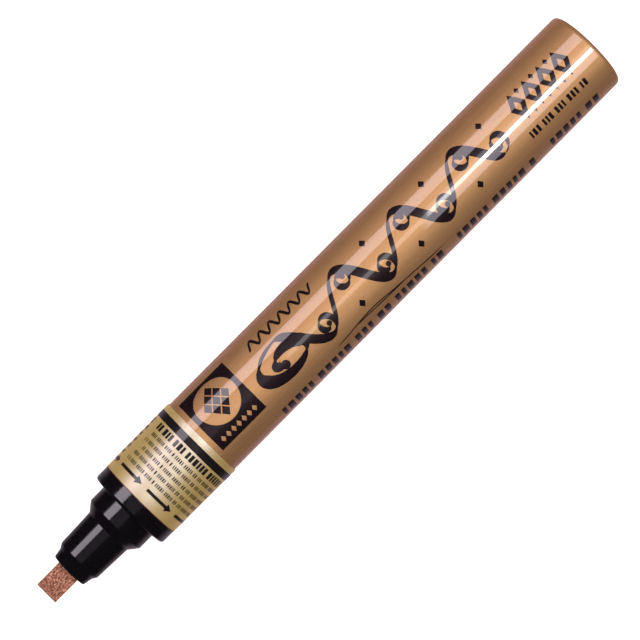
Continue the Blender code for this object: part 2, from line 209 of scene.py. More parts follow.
class Look:
    """A material under construction: a Principled shader and the nodes that feed it."""

    def __init__(self, name, **values):
        self.material = bpy.data.materials.new(name)
        self.material.use_nodes = True
        self.nodes = self.material.node_tree.nodes
        self.links = self.material.node_tree.links
        self.shader = self.nodes["Principled BSDF"]
        for key, value in values.items():
            socket = self.shader.inputs[key.replace("_", " ").title().replace("Ior", "IOR")]
            socket.default_value = (*value, 1.0) if isinstance(value, tuple) else value
        self.place = self.nodes.new("ShaderNodeTexCoord").outputs["Object"]

    def noise(self, scale, detail=3.0, roughness=0.5, along=1.0):
        """Noise with this many features a metre, and with a share of that along the pen."""
        mapping = self.nodes.new("ShaderNodeMapping")
        mapping.inputs["Scale"].default_value = (along, 1, 1)
        self.links.new(self.place, mapping.inputs["Vector"])
        node = self.nodes.new("ShaderNodeTexNoise")
        node.inputs["Scale"].default_value = scale
        node.inputs["Detail"].default_value = detail
        node.inputs["Roughness"].default_value = roughness
        self.links.new(mapping.outputs["Vector"], node.inputs["Vector"])
        return node.outputs["Fac"]

    def cells(self, scale, output):
        """A Voronoi texture with this many cells a metre."""
        node = self.nodes.new("ShaderNodeTexVoronoi")
        node.inputs["Scale"].default_value = scale
        self.links.new(self.place, node.inputs["Vector"])
        return node.outputs[output]

    def ramp(self, value, stops):
        """A colour ramp through (position, colour) stops."""
        node = self.nodes.new("ShaderNodeValToRGB")
        elements = node.color_ramp.elements
        while len(elements) < len(stops):
            elements.new(0.5)
        for element, (position, colour) in zip(elements, stops):
            element.position = position
            element.color = (*colour, 1.0)
        self.links.new(value, node.inputs["Fac"])
        return node.outputs["Color"]

    def spread(self, value, low, high, start=0.3, end=0.7):
        """Maps a 0 to 1 texture between start and end onto low to high."""
        node = self.nodes.new("ShaderNodeMapRange")
        node.inputs["From Min"].default_value = start
        node.inputs["From Max"].default_value = end
        node.inputs["To Min"].default_value = low
        node.inputs["To Max"].default_value = high
        self.links.new(value, node.inputs["Value"])
        return node.outputs["Result"]

    def mix(self, factor, first, second, blend):
        """Two colours blended by a factor."""
        node = self.nodes.new("ShaderNodeMix")
        node.data_type = "RGBA"
        node.blend_type = blend
        for socket, value in (("Factor", factor), ("A", first), ("B", second)):
            found = [s for s in node.inputs if s.name == socket and s.enabled][0]
            if isinstance(value, bpy.types.NodeSocket):
                self.links.new(value, found)
            else:
                found.default_value = value
        return [s for s in node.outputs if s.enabled][0]

    def bump(self, height, distance, strength, under=None):
        """A bump of this height, on top of another one if there is one under it."""
        node = self.nodes.new("ShaderNodeBump")
        node.inputs["Strength"].default_value = strength
        node.inputs["Distance"].default_value = distance
        self.links.new(height, node.inputs["Height"])
        if under:
            self.links.new(under, node.inputs["Normal"])
        return node.outputs["Normal"]

    def feed(self, **sources):
        """Links textures to the shader's sockets, and returns the finished material."""
        for key, source in sources.items():
            self.links.new(source, self.shader.inputs[key.replace("_", " ").title()])
        return self.material


def draw_lines(look):
    """The barrel's faint ripples along its length, which its clear coat shows."""
    ripples = look.noise(800, 3, 0.55, along=0.02)
    return look.bump(ripples, 0.012 * MM, 0.8)


def bronze_lacquer():
    """Clear-coated metallic lacquer: fine flakes, and faint streaks along the pen."""
    look = Look(
        "bronze_lacquer",
        metallic=0.88,
        coat_weight=0.85,
        coat_roughness=0.03,
        coat_ior=COAT_IOR,
        sheen_weight=0.2,
        sheen_roughness=0.5,
        sheen_tint=(1.0, 0.22, 0.16),
    )
    streaks = look.noise(900, 4, 0.6, along=0.02)
    tone = look.ramp(streaks, [(0.3, (0.470, 0.258, 0.110)), (0.7, (0.525, 0.298, 0.131))])
    flakes = look.cells(9000, "Color")
    colour = look.mix(0.10, tone, flakes, "OVERLAY")
    rough = look.spread(look.noise(7000, 2, 0.5), 0.60, 0.67)
    normal = look.bump(look.noise(5000, 2), 0.004 * MM, 0.35)
    coat_normal = draw_lines(look)
    return look.feed(base_color=colour, roughness=rough, normal=normal, coat_normal=coat_normal)


def gold_foil():
    """Satin metallised film, slightly uneven where it is stretched over the pen.

    Its metal lies under a clear face, so its highlights are white and only its body is golden. That
    is a golden base with a strong clear reflection, and not a tinted metal.
    """
    look = Look(
        "gold_foil",
        ior=4.0,
        sheen_weight=0.3,
        sheen_roughness=0.4,
        sheen_tint=(1.0, 0.45, 0.12),
    )
    clouds = look.noise(220, 3, 0.5, along=0.5)
    tone = look.ramp(clouds, [(0.3, (0.275, 0.166, 0.005)), (0.7, (0.305, 0.187, 0.010))])
    grain = look.noise(6000, 2, 0.6, along=0.15)
    rough = look.spread(grain, 0.42, 0.48)
    ripples = look.bump(look.noise(260, 2, 0.4, along=0.4), 0.03 * MM, 0.35)
    normal = look.bump(grain, 0.002 * MM, 0.3, ripples)
    return look.feed(base_color=tone, roughness=rough, normal=normal)


def black_plastic():
    """Glossy moulded black, with the faint marks of handling."""
    look = Look("black_plastic", ior=COAT_IOR)
    marks = look.noise(1800, 5, 0.65)
    tone = look.ramp(marks, [(0.3, (0.0010, 0.0008, 0.0013)), (0.75, (0.0022, 0.0017, 0.0027))])
    rough = look.spread(marks, 0.09, 0.16)
    normal = look.bump(look.noise(3500, 3, 0.5), 0.004 * MM, 0.25)
    return look.feed(base_color=tone, roughness=rough, normal=normal)


def print_ink():
    """Black screen print under the same clear coat as the lacquer."""
    look = Look(
        "print_ink",
        metallic=0.5,
        specular_ior_level=0.2,
        coat_weight=0.85,
        coat_roughness=0.03,
        coat_ior=COAT_IOR,
    )
    mottle = look.noise(2500, 4, 0.6)
    tone = look.ramp(mottle, [(0.3, (0.008, 0.0035, 0.0045)), (0.75, (0.013, 0.0055, 0.007))])
    rough = look.spread(mottle, 0.28, 0.4)
    normal = look.bump(look.noise(5000, 2), 0.003 * MM, 0.2)
    coat_normal = draw_lines(look)
    return look.feed(base_color=tone, roughness=rough, normal=normal, coat_normal=coat_normal)


def seal_ink():
    """Black print on the foil, thinner than the barrel's, so that a little foil glints through."""
    look = Look(
        "seal_ink",
        specular_ior_level=0.15,
        coat_weight=0.65,
        coat_roughness=0.08,
        coat_ior=COAT_IOR,
    )
    mottle = look.noise(4000, 4, 0.7)
    tone = look.ramp(mottle, [(0.35, (0.003, 0.002, 0.003)), (0.8, (0.009, 0.006, 0.006))])
    rough = look.spread(mottle, 0.3, 0.45)
    return look.feed(base_color=tone, roughness=rough)


def foil_edge():
    """The cut edge of the foil, where its reddish carrier shows."""
    look = Look("foil_edge", metallic=0.5)
    blotches = look.noise(3000, 3)
    tone = look.ramp(blotches, [(0.3, (0.17, 0.055, 0.03)), (0.7, (0.30, 0.12, 0.06))])
    rough = look.spread(look.noise(5000, 2), 0.35, 0.55)
    return look.feed(base_color=tone, roughness=rough)


def inked_felt():
    """Hard felt soaked in copper ink: brown fibres and bright metallic grains, with painted shade
    in the pores.
    """
    look = Look("inked_felt", metallic=0.35, sheen_weight=0.15, sheen_roughness=0.5)
    fibres = look.noise(4200, 4, 0.65, along=0.45)
    grains = look.cells(5200, "Distance")
    # The fibres' colour follows their bump: near black where it is low, which is painted shade in
    # the pores, and bright copper brown on the fibres' tops.
    body = look.ramp(
        fibres,
        [
            (0.35, (0.035, 0.010, 0.005)),
            (0.45, (0.20, 0.065, 0.036)),
            (0.56, (0.44, 0.17, 0.098)),
            (0.68, (0.80, 0.44, 0.28)),
        ],
    )
    pits = look.ramp(grains, [(0.25, (1, 1, 1)), (0.62, (0.55, 0.48, 0.45))])
    colour = look.mix(0.85, body, pits, "MULTIPLY")
    rough = look.spread(fibres, 0.75, 0.4)
    normal = look.bump(fibres, 0.12 * MM, 0.8)
    return look.feed(base_color=colour, roughness=rough, normal=normal)


def moulded_plastic():
    """Unpainted polypropylene, a little translucent, with a fine moulded grain."""
    look = Look(
        "natural_plastic",
        subsurface_weight=0.15,
        subsurface_scale=0.4 * MM,
        specular_ior_level=0.4,
    )
    clouds = look.noise(600, 3)
    tone = look.ramp(clouds, [(0.3, (0.74, 0.74, 0.69)), (0.7, (0.83, 0.83, 0.79))])
    rough = look.spread(look.noise(5000, 3), 0.32, 0.48)
    normal = look.bump(look.noise(6000, 3), 0.006 * MM, 0.3)
    return look.feed(base_color=tone, roughness=rough, normal=normal)


def soft_rubber():
    """Matt grey rubber, speckled with its filler."""
    look = Look("grey_rubber", specular_ior_level=0.3)
    speckle = look.noise(7000, 4, 0.7)
    tone = look.ramp(speckle, [(0.35, (0.045, 0.045, 0.048)), (0.7, (0.10, 0.10, 0.10))])
    rough = look.spread(speckle, 0.65, 0.85)
    normal = look.bump(speckle, 0.01 * MM, 0.4)
    return look.feed(base_color=tone, roughness=rough, normal=normal)


def drawn_wire():
    """Stainless spring wire, with the fine lines of its die."""
    look = Look("spring_steel", metallic=1.0, anisotropic=0.4)
    lines = look.noise(9000, 3, 0.6)
    tone = look.ramp(lines, [(0.3, (0.52, 0.52, 0.54)), (0.7, (0.68, 0.67, 0.66))])
    rough = look.spread(lines, 0.18, 0.34)
    return look.feed(base_color=tone, roughness=rough)


def polished_steel():
    """A bearing ball's steel, hazy where the ink has worn it."""
    look = Look("ball_steel", metallic=1.0)
    haze = look.noise(1500, 5, 0.7)
    tone = look.ramp(haze, [(0.3, (0.62, 0.62, 0.64)), (0.7, (0.74, 0.74, 0.75))])
    rough = look.spread(haze, 0.06, 0.16)
    return look.feed(base_color=tone, roughness=rough)


def floor_paper():
    """Pale paper, lit a little from below as on a light table, so that shadows stay faint."""
    look = Look(
        "floor_paper",
        specular_ior_level=0.2,
        roughness=0.8,
        emission_color=(1.0, 1.0, 1.0),
        emission_strength=0.4,
    )
    tone = look.ramp(look.noise(40, 3), [(0.3, (0.90, 0.90, 0.90)), (0.7, (0.92, 0.92, 0.92))])
    return look.feed(base_color=tone)


# ---------------------------------------------------------------------------------------------
# Outer pieces
# ---------------------------------------------------------------------------------------------


def make_barrel(material):
    """The drawn tube: open at its mouth, with a rounded flat end."""
    bore = BARREL_RADIUS - 0.45 * MM
    mouth, end = BARREL_BOX[0].x, BARREL_BOX[1].x
    inner_end = end - 1.2 * MM
    mouth_corner, end_corner, inner_corner = 0.1 * MM, 1.0 * MM, 0.6 * MM
    outside = rounded(
        [
            (mouth, bore),
            (mouth, BARREL_RADIUS, mouth_corner),
            (end, BARREL_RADIUS, end_corner),
            (end, BARREL_RADIUS / 2),
        ]
    )
    inside = rounded([(inner_end, 0), (inner_end, bore, inner_corner), (mouth, bore)])
    # The inside's last point is the outside's first.
    rings = [*outside, (end, 0), *inside[:-1]]
    loft("barrel_shell", rings, material, "pen", ["barrel"])


def film_radius(base):
    """The foil's radius round the pen: its end overlaps its start along a seam underneath."""
    seam, overlap, edge = math.radians(208.5), math.radians(8), math.radians(1.5)
    film = 0.04 * MM

    def radius(turn):
        past = (turn - seam) % (2 * math.pi)
        step = min(past / edge, 1) if past < overlap else 0
        return base - FOIL_SINK + film * step

    return radius


def make_seal_band(material, edge_material):
    """The foil strip, with its cut front edge as a thin ring before it."""
    lip, steps = 0.04 * MM, 24
    front_radius, inner = SEAL_RADIUS - FOIL_FLARE, SEAL_RADIUS - 0.20 * MM
    rings = [(FOIL_FRONT, inner - FOIL_FLARE), (FOIL_FRONT, film_radius(front_radius - lip))]
    for i in range(1, steps):
        share = i / steps
        x = FOIL_FRONT + lip + (FOIL_REAR - FOIL_FRONT - 2 * lip) * share
        rings.append((x, film_radius(SEAL_RADIUS - FOIL_FLARE * (1 - share))))
    rings += [(FOIL_REAR, film_radius(SEAL_RADIUS - lip)), (FOIL_REAR, inner)]
    loft("foil_band", rings, material, "pen", ["seal_band"])
    edge_front, edge_rear = FOIL_FRONT - 0.12 * MM, FOIL_FRONT - 0.01 * MM
    edge_radius = front_radius - 0.02 * MM
    edge = [
        (edge_front, inner - FOIL_FLARE),
        (edge_front, edge_radius),
        (edge_rear, edge_radius),
        (edge_rear, inner - FOIL_FLARE),
    ]
    loft("foil_cut_edge", edge, edge_material, "pen")


# ---------------------------------------------------------------------------------------------
# Prints: flat shapes in (along, across) coordinates, bent round the pen
# ---------------------------------------------------------------------------------------------


def print_heights(layer):
    """The underside and the face of a print. Shapes that cross lie in layers, a hair apart."""
    return UNDERSIDE_SHARE * PRINT_RAISE, PRINT_RAISE * (1 + LAYER_SHARE * layer)


def slab(points, layer=0):
    """A flat closed slab from an outline of (along, across) points in millimetres."""
    bm = bmesh.new()
    underside, face = print_heights(layer)
    low = [bm.verts.new((along * MM, across * MM, underside)) for along, across in points]
    high = [bm.verts.new((along * MM, across * MM, face)) for along, across in points]
    bm.faces.new(list(reversed(low)))
    bm.faces.new(high)
    for i in range(len(points)):
        j = (i + 1) % len(points)
        bm.faces.new((low[i], low[j], high[j], high[i]))
    bmesh.ops.recalc_face_normals(bm, faces=bm.faces)
    return flat_object(bm)


def flat_object(bm):
    """Turns a bmesh into a plain object, which is used up by the print it becomes part of."""
    mesh = bpy.data.meshes.new("flat")
    bm.to_mesh(mesh)
    bm.free()
    obj = bpy.data.objects.new("flat", mesh)
    bpy.context.scene.collection.objects.link(obj)
    return obj


def cut_out(base, shapes):
    """Cuts flat shapes out of a flat base, and returns the base."""
    middle = (UNDERSIDE_SHARE + 1) / 2 * PRINT_RAISE
    reach = 5 * PRINT_RAISE
    group = bpy.data.collections.new("cutters")
    for shape in shapes:
        # A cutter stands clear above and below what it cuts.
        for vert in shape.data.vertices:
            vert.co.z = math.copysign(reach, vert.co.z - middle)
        group.objects.link(shape)
    boolean = base.modifiers.new("cut", "BOOLEAN")
    boolean.operation = "DIFFERENCE"
    boolean.operand_type = "COLLECTION"
    boolean.collection = group
    boolean.solver = "EXACT"
    bpy.context.view_layer.update()
    graph = bpy.context.evaluated_depsgraph_get()
    mesh = bpy.data.meshes.new_from_object(base.evaluated_get(graph))
    base.modifiers.clear()
    base.data = mesh
    for shape in shapes:
        bpy.data.objects.remove(shape)
    bpy.data.collections.remove(group)
    return base


def stroke(path, broad, thin, layer=0, fade=0.1):
    """A pen stroke: as broad as the nib across its edge's angle, and thin along it.

    It narrows over a share of its length, the fade, at both ends.
    """
    edge, narrowest, easing = math.radians(40), 0.12, 0.6
    low, high = print_heights(layer)
    bm = bmesh.new()
    rows = []
    last = len(path) - 1
    for i, point in enumerate(path):
        heading = (path[min(i + 1, last)] - path[max(i - 1, 0)]).normalized()
        turn = math.atan2(heading.y, heading.x) - edge
        share = i / last
        ends = max(min(1, share / fade, (1 - share) / fade), narrowest) ** easing
        width = (thin + (broad - thin) * abs(math.sin(turn))) * ends
        side = Vector((-heading.y, heading.x)) * width / 2
        left, right = (point + side) * MM, (point - side) * MM
        corners = ((left, high), (right, high), (right, low), (left, low))
        rows.append([bm.verts.new((*place, height)) for place, height in corners])
    for first, second in zip(rows, rows[1:]):
        for i in range(4):
            j = (i + 1) % 4
            bm.faces.new((first[i], first[j], second[j], second[i]))
    bm.faces.new(rows[0][::-1])
    bm.faces.new(rows[-1])
    return flat_object(bm)


def spiral(centre, start_radius, end_radius, start, turns, stretch):
    """A path that winds from one radius to another. Positive turns run anticlockwise."""
    steps, easing = 96, 0.85
    found = []
    for i in range(steps + 1):
        share = i / steps
        radius = start_radius + (end_radius - start_radius) * share**easing
        angle = math.radians(start) + 2 * math.pi * turns * share
        along = centre[0] + stretch * radius * math.cos(angle)
        across = centre[1] + radius * math.sin(angle)
        found.append(Vector((along, across)))
    return found


def swing(points, steps=28):
    """A path that eases from each low or high point to the next, level at each of them."""
    found = []
    for (x0, y0), (x1, y1) in zip(points, points[1:]):
        for i in range(steps):
            share = i / steps
            ease = (1 - math.cos(math.pi * share)) / 2
            found.append(Vector((x0 + (x1 - x0) * share, y0 + (y1 - y0) * ease)))
    found.append(Vector(points[-1]))
    return found


def disc(centre, radius, layer=0):
    """A round dot."""
    steps = 64
    x, y = centre
    turns = [2 * math.pi * i / steps for i in range(steps)]
    outline = [(x + radius * math.cos(turn), y + radius * math.sin(turn)) for turn in turns]
    return slab(outline, layer)


def block(low, high):
    """A rectangle between two corners."""
    return slab([(low[0], low[1]), (high[0], low[1]), (high[0], high[1]), (low[0], high[1])])


def lozenge(centre, half_length, half_height):
    """A rhombus that stands on its corner."""
    x, y = centre
    return slab(
        [(x - half_length, y), (x, y - half_height), (x + half_length, y), (x, y + half_height)]
    )


def bar_row(start, end, middle, height, bar, gap, word=5, across=False):
    """A row of plain bars in groups, which stands where the real print has words.

    Its bars have four widths in turn, and a wider gap follows each group.
    """
    found = []
    place, count = start, 0
    while place + bar <= end:
        width = bar * (0.8 + 0.15 * (count * 7 % 4))
        low, high = (place, middle - height / 2), (place + width, middle + height / 2)
        if across:
            low, high = (low[1], low[0]), (high[1], high[0])
        found.append(block(low, high))
        place += width + gap
        count += 1
        if count % word == 0 or count % (2 * word + 3) == 0:
            place += 1.6 * gap
    return found


def join(shapes):
    """Puts shapes that don't overlap into one object."""
    bm = bmesh.new()
    for shape in shapes:
        bm.from_mesh(shape.data)
        bpy.data.objects.remove(shape)
    return flat_object(bm)


def bend(name, flat, surface, arc_radius, material):
    """Bends a flat print round the pen. Surface gives the pen's radius at a place along it."""
    bm = bmesh.new()
    bm.from_mesh(flat.data)
    bpy.data.objects.remove(flat)
    bmesh.ops.triangulate(bm, faces=[f for f in bm.faces if len(f.verts) > 4])
    step = arc_radius * BEND_STEP
    lowest = min(v.co.y for v in bm.verts)
    highest = max(v.co.y for v in bm.verts)
    for k in range(math.ceil(lowest / step), math.floor(highest / step) + 1):
        geometry = bm.verts[:] + bm.edges[:] + bm.faces[:]
        bmesh.ops.bisect_plane(
            bm, geom=geometry, plane_co=(0, k * step, 0), plane_no=(0, 1, 0), dist=1e-8
        )
    for vert in bm.verts:
        x, across, above = vert.co
        turn = across / arc_radius
        radius = surface(x) + above
        vert.co = (x, radius * math.sin(turn), AXIS_Z + radius * math.cos(turn))
    obj = piece(name, bm, material, "pen")
    round_normals(obj.data)


def round_normals(mesh):
    """Shades a bent print as part of the round surface under it."""
    normals = [Vector((0, 0, 1))] * len(mesh.loops)
    for polygon in mesh.polygons:
        middle = polygon.center
        outward = Vector((0, middle.y, middle.z - AXIS_Z)).normalized()
        facing = polygon.normal.dot(outward)
        is_side = abs(facing) <= 0.7
        for i in polygon.loop_indices:
            place = mesh.vertices[mesh.loops[i].vertex_index].co
            radial = Vector((0, place.y, place.z - AXIS_Z)).normalized()
            normals[i] = polygon.normal if is_side else radial * math.copysign(1, facing)
    mesh.normals_split_custom_set(normals)


# ---------------------------------------------------------------------------------------------
# The barrel's print, in millimetres: X along the pen, and the arc from its top line
# ---------------------------------------------------------------------------------------------

# Half the length and half the height of a small lozenge.
SMALL_LOZENGE = (0.55, 0.75)


def make_emblem():
    """A black panel with a clear disc and a clear row of lozenges, and a lattice in the disc."""
    x, y = middle = (-25.07, 3.0)
    panel = cut_out(block((-31.0, -5.0), (-19.15, 8.7)), [disc(middle, 4.8)])
    row = [lozenge((x + 1.4 * i, -3.3), *SMALL_LOZENGE) for i in range(-3, 4)]
    shapes = [cut_out(panel, row)]
    for i in (-1, 0, 1):
        for j in (-1, 0, 1):
            shapes.append(lozenge((x + 1.15 * (i - j), y + 1.35 * (i + j)), 0.98, 1.18))
    return shapes


def make_scroll():
    """A line of pen flourishes: a large volute, then a vine with a curl in each of its bends."""
    step, low, high = 8.1, -4.2, 4.9
    bends = [(-9.5, 3.3)]
    bends += [(step * i, high if i % 2 else low) for i in range(6)]
    bends.append((48.2, -3.0))
    volute = spiral((-9.5, -0.8), 4.1, 1.1, start=90, turns=1.4, stretch=1.9)
    shapes = [
        stroke(swing(bends), broad=1.9, thin=0.42, fade=0.03),
        stroke(volute, broad=2.7, thin=0.5, layer=1, fade=0.12),
        disc(volute[-1], 0.95, layer=2),
    ]
    curl_radius, top_layer = 2.45, 12
    for i, (x, y) in enumerate(bends[1:]):
        up = -1 if y > 0 else 1
        centre = (x + 0.2, y + up * curl_radius)
        curl = spiral(centre, curl_radius, 0.75, start=-90 * up, turns=1.2 * up, stretch=0.9)
        shapes.append(stroke(curl, broad=1.35, thin=0.3, layer=3 + i, fade=0.12))
        shapes.append(disc(curl[-1], 0.55, layer=top_layer))
        # A lozenge stands across the line from each bend but the first.
        if i:
            shapes.append(lozenge((x, 4.6 if y < 0 else -3.9), 0.75, 0.95))
    return shapes


def make_bold_row():
    """Large pierced lozenges near the closed end, with small ones above and below between them."""
    start, step, middle, rise = 56.3, 3.95, 1.7, 2.55
    found = []
    for i in range(4):
        place = (start + step * i, middle)
        found.append(cut_out(lozenge(place, 1.85, 3.3), [lozenge(place, 0.7, 1.25)]))
        if i:
            for side in (-1, 1):
                between = (start + step * (i - 0.5), middle + rise * side)
                found.append(lozenge(between, *SMALL_LOZENGE))
    return found


def make_wave():
    """A small zigzag with round turns, over the vine's front end."""
    start, step, low, high = -14.0, 1.35, 5.2, 7.3
    turns = [(start + step * i, high if i % 2 else low) for i in range(14)]
    return stroke(swing(turns, steps=16), broad=0.66, thin=0.34, fade=0.01)


def make_small_prints():
    """The wave, two thin swashes under the vine, the large lozenges and the rows of bars."""
    swash = [(-1.2, -7.1), (8.6, -6.3), (17.0, -7.0)]
    tail = [(4.0, -6.7), (15.2, -7.1), (27.0, -7.9)]
    shapes = [
        make_wave(),
        stroke(swing(swash), broad=0.3, thin=0.2),
        stroke(swing(tail), broad=0.3, thin=0.2, layer=1),
    ]
    shapes += make_bold_row()
    shapes += bar_row(54.1, 69.8, -4.3, height=1.6, bar=0.55, gap=0.38, word=3)
    for start, end in ((-17.5, 26.8), (30.6, 52.8), (56.4, 70.4)):
        shapes += bar_row(start, end, -9.9, height=2.7, bar=1.15, gap=0.62)
    return shapes


def make_barrel_print(material):
    """All of the barrel's print, as one piece on the lacquer."""
    flat = join(make_emblem() + make_scroll() + make_small_prints())
    bend("barrel_print", flat, lambda x: BARREL_RADIUS, BARREL_RADIUS, material)


# ---------------------------------------------------------------------------------------------
# The foil's print, in millimetres: X along the pen, and the arc from its top line
# ---------------------------------------------------------------------------------------------

SEAL_LEFT = SEAL_BOX[0].x / MM
ARROWS = 7


def seal_arc(degrees):
    """How far round the foil an angle lies."""
    return SEAL_RADIUS / MM * math.radians(degrees)


def seal_surface(x):
    """The foil's radius at a place along the pen."""
    share = (x - SEAL_BOX[0].x) / (SEAL_BOX[1].x - SEAL_BOX[0].x)
    return SEAL_RADIUS - FOIL_FLARE * (1 - share) - FOIL_SINK


def make_arrow(x, tip, tail):
    """An arrow that runs round the pen."""
    head, half, barb = 1.55, 0.32, 0.86
    neck = tip + head
    right = [(x + barb, neck), (x + half, neck), (x + half, tail)]
    left = [(x - half, tail), (x - half, neck), (x - barb, neck)]
    return slab([(x, tip), *right, *left])


def make_text_block(start, end):
    """Five lines of small bars, some of which begin with a square mark, and one of large bars."""
    first_line, line_step, mark_half, mark_length = SEAL_LEFT + 4.67, 1.61, 0.5, 0.6
    shapes = []
    for line in range(5):
        x = first_line + line_step * line
        indent = 1.0 if line in (1, 2, 4) else 0.0
        if indent:
            shapes.append(block((x - mark_half, start), (x + mark_half, start + mark_length)))
        line_end = end - 0.8 * (line % 3)
        shapes += bar_row(start + indent, line_end, x, height=0.8, bar=0.24, gap=0.2, across=True)
    large_line = SEAL_LEFT + 13.0
    return shapes + bar_row(
        start + 0.4, end, large_line, height=1.5, bar=0.66, gap=0.30, word=6, across=True
    )


def make_seal_print(material):
    """Arrows near the foil's front edge, two text blocks, and a stripe near its rear edge."""
    shapes = []
    for i in range(ARROWS):
        tip = seal_arc(-40 - 360 / ARROWS * (i - 4))
        shapes.append(make_arrow(SEAL_LEFT + 2.85, tip, tip + seal_arc(42)))
    for low, high in ((-78, 57), (72, 196)):
        shapes += make_text_block(seal_arc(low), seal_arc(high))
    stripe_front, stripe_rear = SEAL_LEFT + 14.25, SEAL_LEFT + 15.85
    shapes.append(block((stripe_front, seal_arc(-143)), (stripe_rear, seal_arc(208))))
    bend("foil_print", join(shapes), seal_surface, SEAL_RADIUS, material)


# ---------------------------------------------------------------------------------------------
# Collar, nose and nib
# ---------------------------------------------------------------------------------------------


def make_collar(material):
    """The ring in front of the foil, its neck under the foil, and the spigot in the barrel."""
    face, rear = COLLAR_BOX[0].x, COLLAR_BOX[1].x
    lip = face + 1.4 * MM
    neck = FOIL_FRONT - 0.14 * MM
    spigot = neck + 8.2 * MM
    radius = (COLLAR_BOX[1].y - COLLAR_BOX[0].y) / 2
    neck_radius, spigot_radius = 8.75 * MM, 8.35 * MM
    lip_bore, bore = 6.9 * MM, 7.6 * MM
    outline = [
        (face, lip_bore, 0.15 * MM),
        (face, radius, 0.6 * MM),
        (neck, radius, 0.05 * MM),
        (neck, neck_radius),
        (spigot, neck_radius, 0.08 * MM),
        (spigot, spigot_radius),
        (rear, spigot_radius, 0.2 * MM),
        (rear, bore),
        (lip, bore),
        (lip, lip_bore),
    ]
    loft("collar_ring", rounded(outline), material, "pen", ["collar"])


def box_section(half_width, half_height, corner):
    """A rounded rectangle as a loft's section."""
    return lambda turn: box_radius(turn, half_width, half_height, corner)


def slot_section(grow):
    """The nib's slot as a section, grown by a margin."""
    return box_section(2.65 * MM + grow, 1.40 * MM + grow, 0.3 * MM + grow)


def make_nose(material):
    """The stepped front piece: a cone with a slot in its face, a taper, a shoulder and a flange."""
    tip, rear = NOSE_BOX[0].x, NOSE_BOX[1].x
    stations = (0.1, 2.0, 3.0, 10.95, 12.85, 18.3)
    face, ledge, cone, taper, shoulder, flange = (tip + station * MM for station in stations)
    chamber, guide = tip + 3.4 * MM, tip + 12.7 * MM
    step_radius, flange_radius = 6.7 * MM, 7.4 * MM
    chamber_radius, guide_radius = 3.9 * MM, 5.3 * MM
    # The slot's edge is rounded, and the first rings run along it out to the face.
    rim = 0.18 * MM
    rings = []
    for i in range(CORNER_STEPS + 1):
        turn = math.pi / 2 * i / CORNER_STEPS
        rings.append((face + rim * (1 - math.sin(turn)), slot_section(rim * (1 - math.cos(turn)))))
    outline = [
        (face, 3.5 * MM),
        (face, 3.95 * MM, 0.3 * MM),
        (ledge, 4.27 * MM, 0.8 * MM),
        (cone, 4.9 * MM, 0.5 * MM),
        (taper, 5.2 * MM, 0.15 * MM),
        (shoulder, step_radius, 0.5 * MM),
        (flange, step_radius),
        (flange, flange_radius),
        (rear, flange_radius),
        (rear, guide_radius),
        (guide, guide_radius),
        (guide, chamber_radius),
        (chamber, chamber_radius),
    ]
    rings += rounded(outline)
    rings.append((chamber, slot_section(0)))
    loft("nose", rings, material, "pen", ["nose_holder"])


def make_nib(material):
    """A felt slab: rounded edges, a wedge to the writing edge, and a fibrous surface."""
    front, rear = NIB_BOX[0].x, NIB_BOX[1].x
    # The ink swells the felt a little, within its play in the slot.
    swelling = 0.05 * MM
    half_width = (NIB_BOX[1].y - NIB_BOX[0].y) / 2 + swelling
    half_height = (NIB_BOX[1].z - NIB_BOX[0].z) / 2
    edge_half, wedge = 0.62 * MM, 2.6 * MM
    corner, bevel_length, bevel_depth = 0.16 * MM, 0.12 * MM, 0.10 * MM
    # The rings are close together where the felt shows, and closest along its front bevel.
    shown, cell = 9 * MM, 0.11 * MM
    rings = [(front, 0)]
    for i in range(6, 1, -1):
        shrink = 0.1 * MM * i
        rings.append((front, felt_section(half_width - shrink, edge_half - shrink, 0.05 * MM)))
    x = front
    while x < rear:
        rise = min((x - front) / wedge, 1)
        height = edge_half + (half_height - edge_half) * rise
        bevel = min((x - front) / bevel_length, 1)
        lip = bevel_depth * (1 - math.sqrt(1 - (1 - bevel) ** 2))
        rings.append((x, felt_section(half_width - lip, height - lip, corner)))
        if x < front + bevel_length:
            x += cell / 4
        else:
            x += cell if x < front + shown else 8 * cell
    rings.append((rear, felt_section(half_width, half_height, corner)))
    rings.append((rear, 0))
    nib = loft("felt_nib", rings, material, "nib_assembly", ["nib"], closed=False, sides=180)
    roughen(nib.data, front, half_width)


def felt_section(half_width, half_height, corner):
    """A section of the nib, whose corner is never larger than a thin section allows."""
    return box_section(half_width, half_height, min(corner, 0.9 * half_height))


def roughen(mesh, front, half_width):
    """Moves the felt's surface in by a fibrous pattern, and its writing edge back by it."""
    depth, edge_depth = 0.045 * MM, 0.6
    along, across = 1800, 4000
    falloff, lacunarity, octaves = 0.6, 2.1, 3
    for vert in mesh.vertices:
        place = Vector((vert.co.x * along, vert.co.y * across, vert.co.z * across))
        rough = 0.5 + 0.5 * noise.fractal(place, falloff, lacunarity, octaves)
        rough = min(max(rough, 0), 1)
        inward = Vector((0, -vert.co.y / half_width, -(vert.co.z - AXIS_Z) / half_width))
        vert.co += inward * depth * rough
        if vert.co.x < front + 0.05 * MM:
            vert.co.x += edge_depth * depth * rough


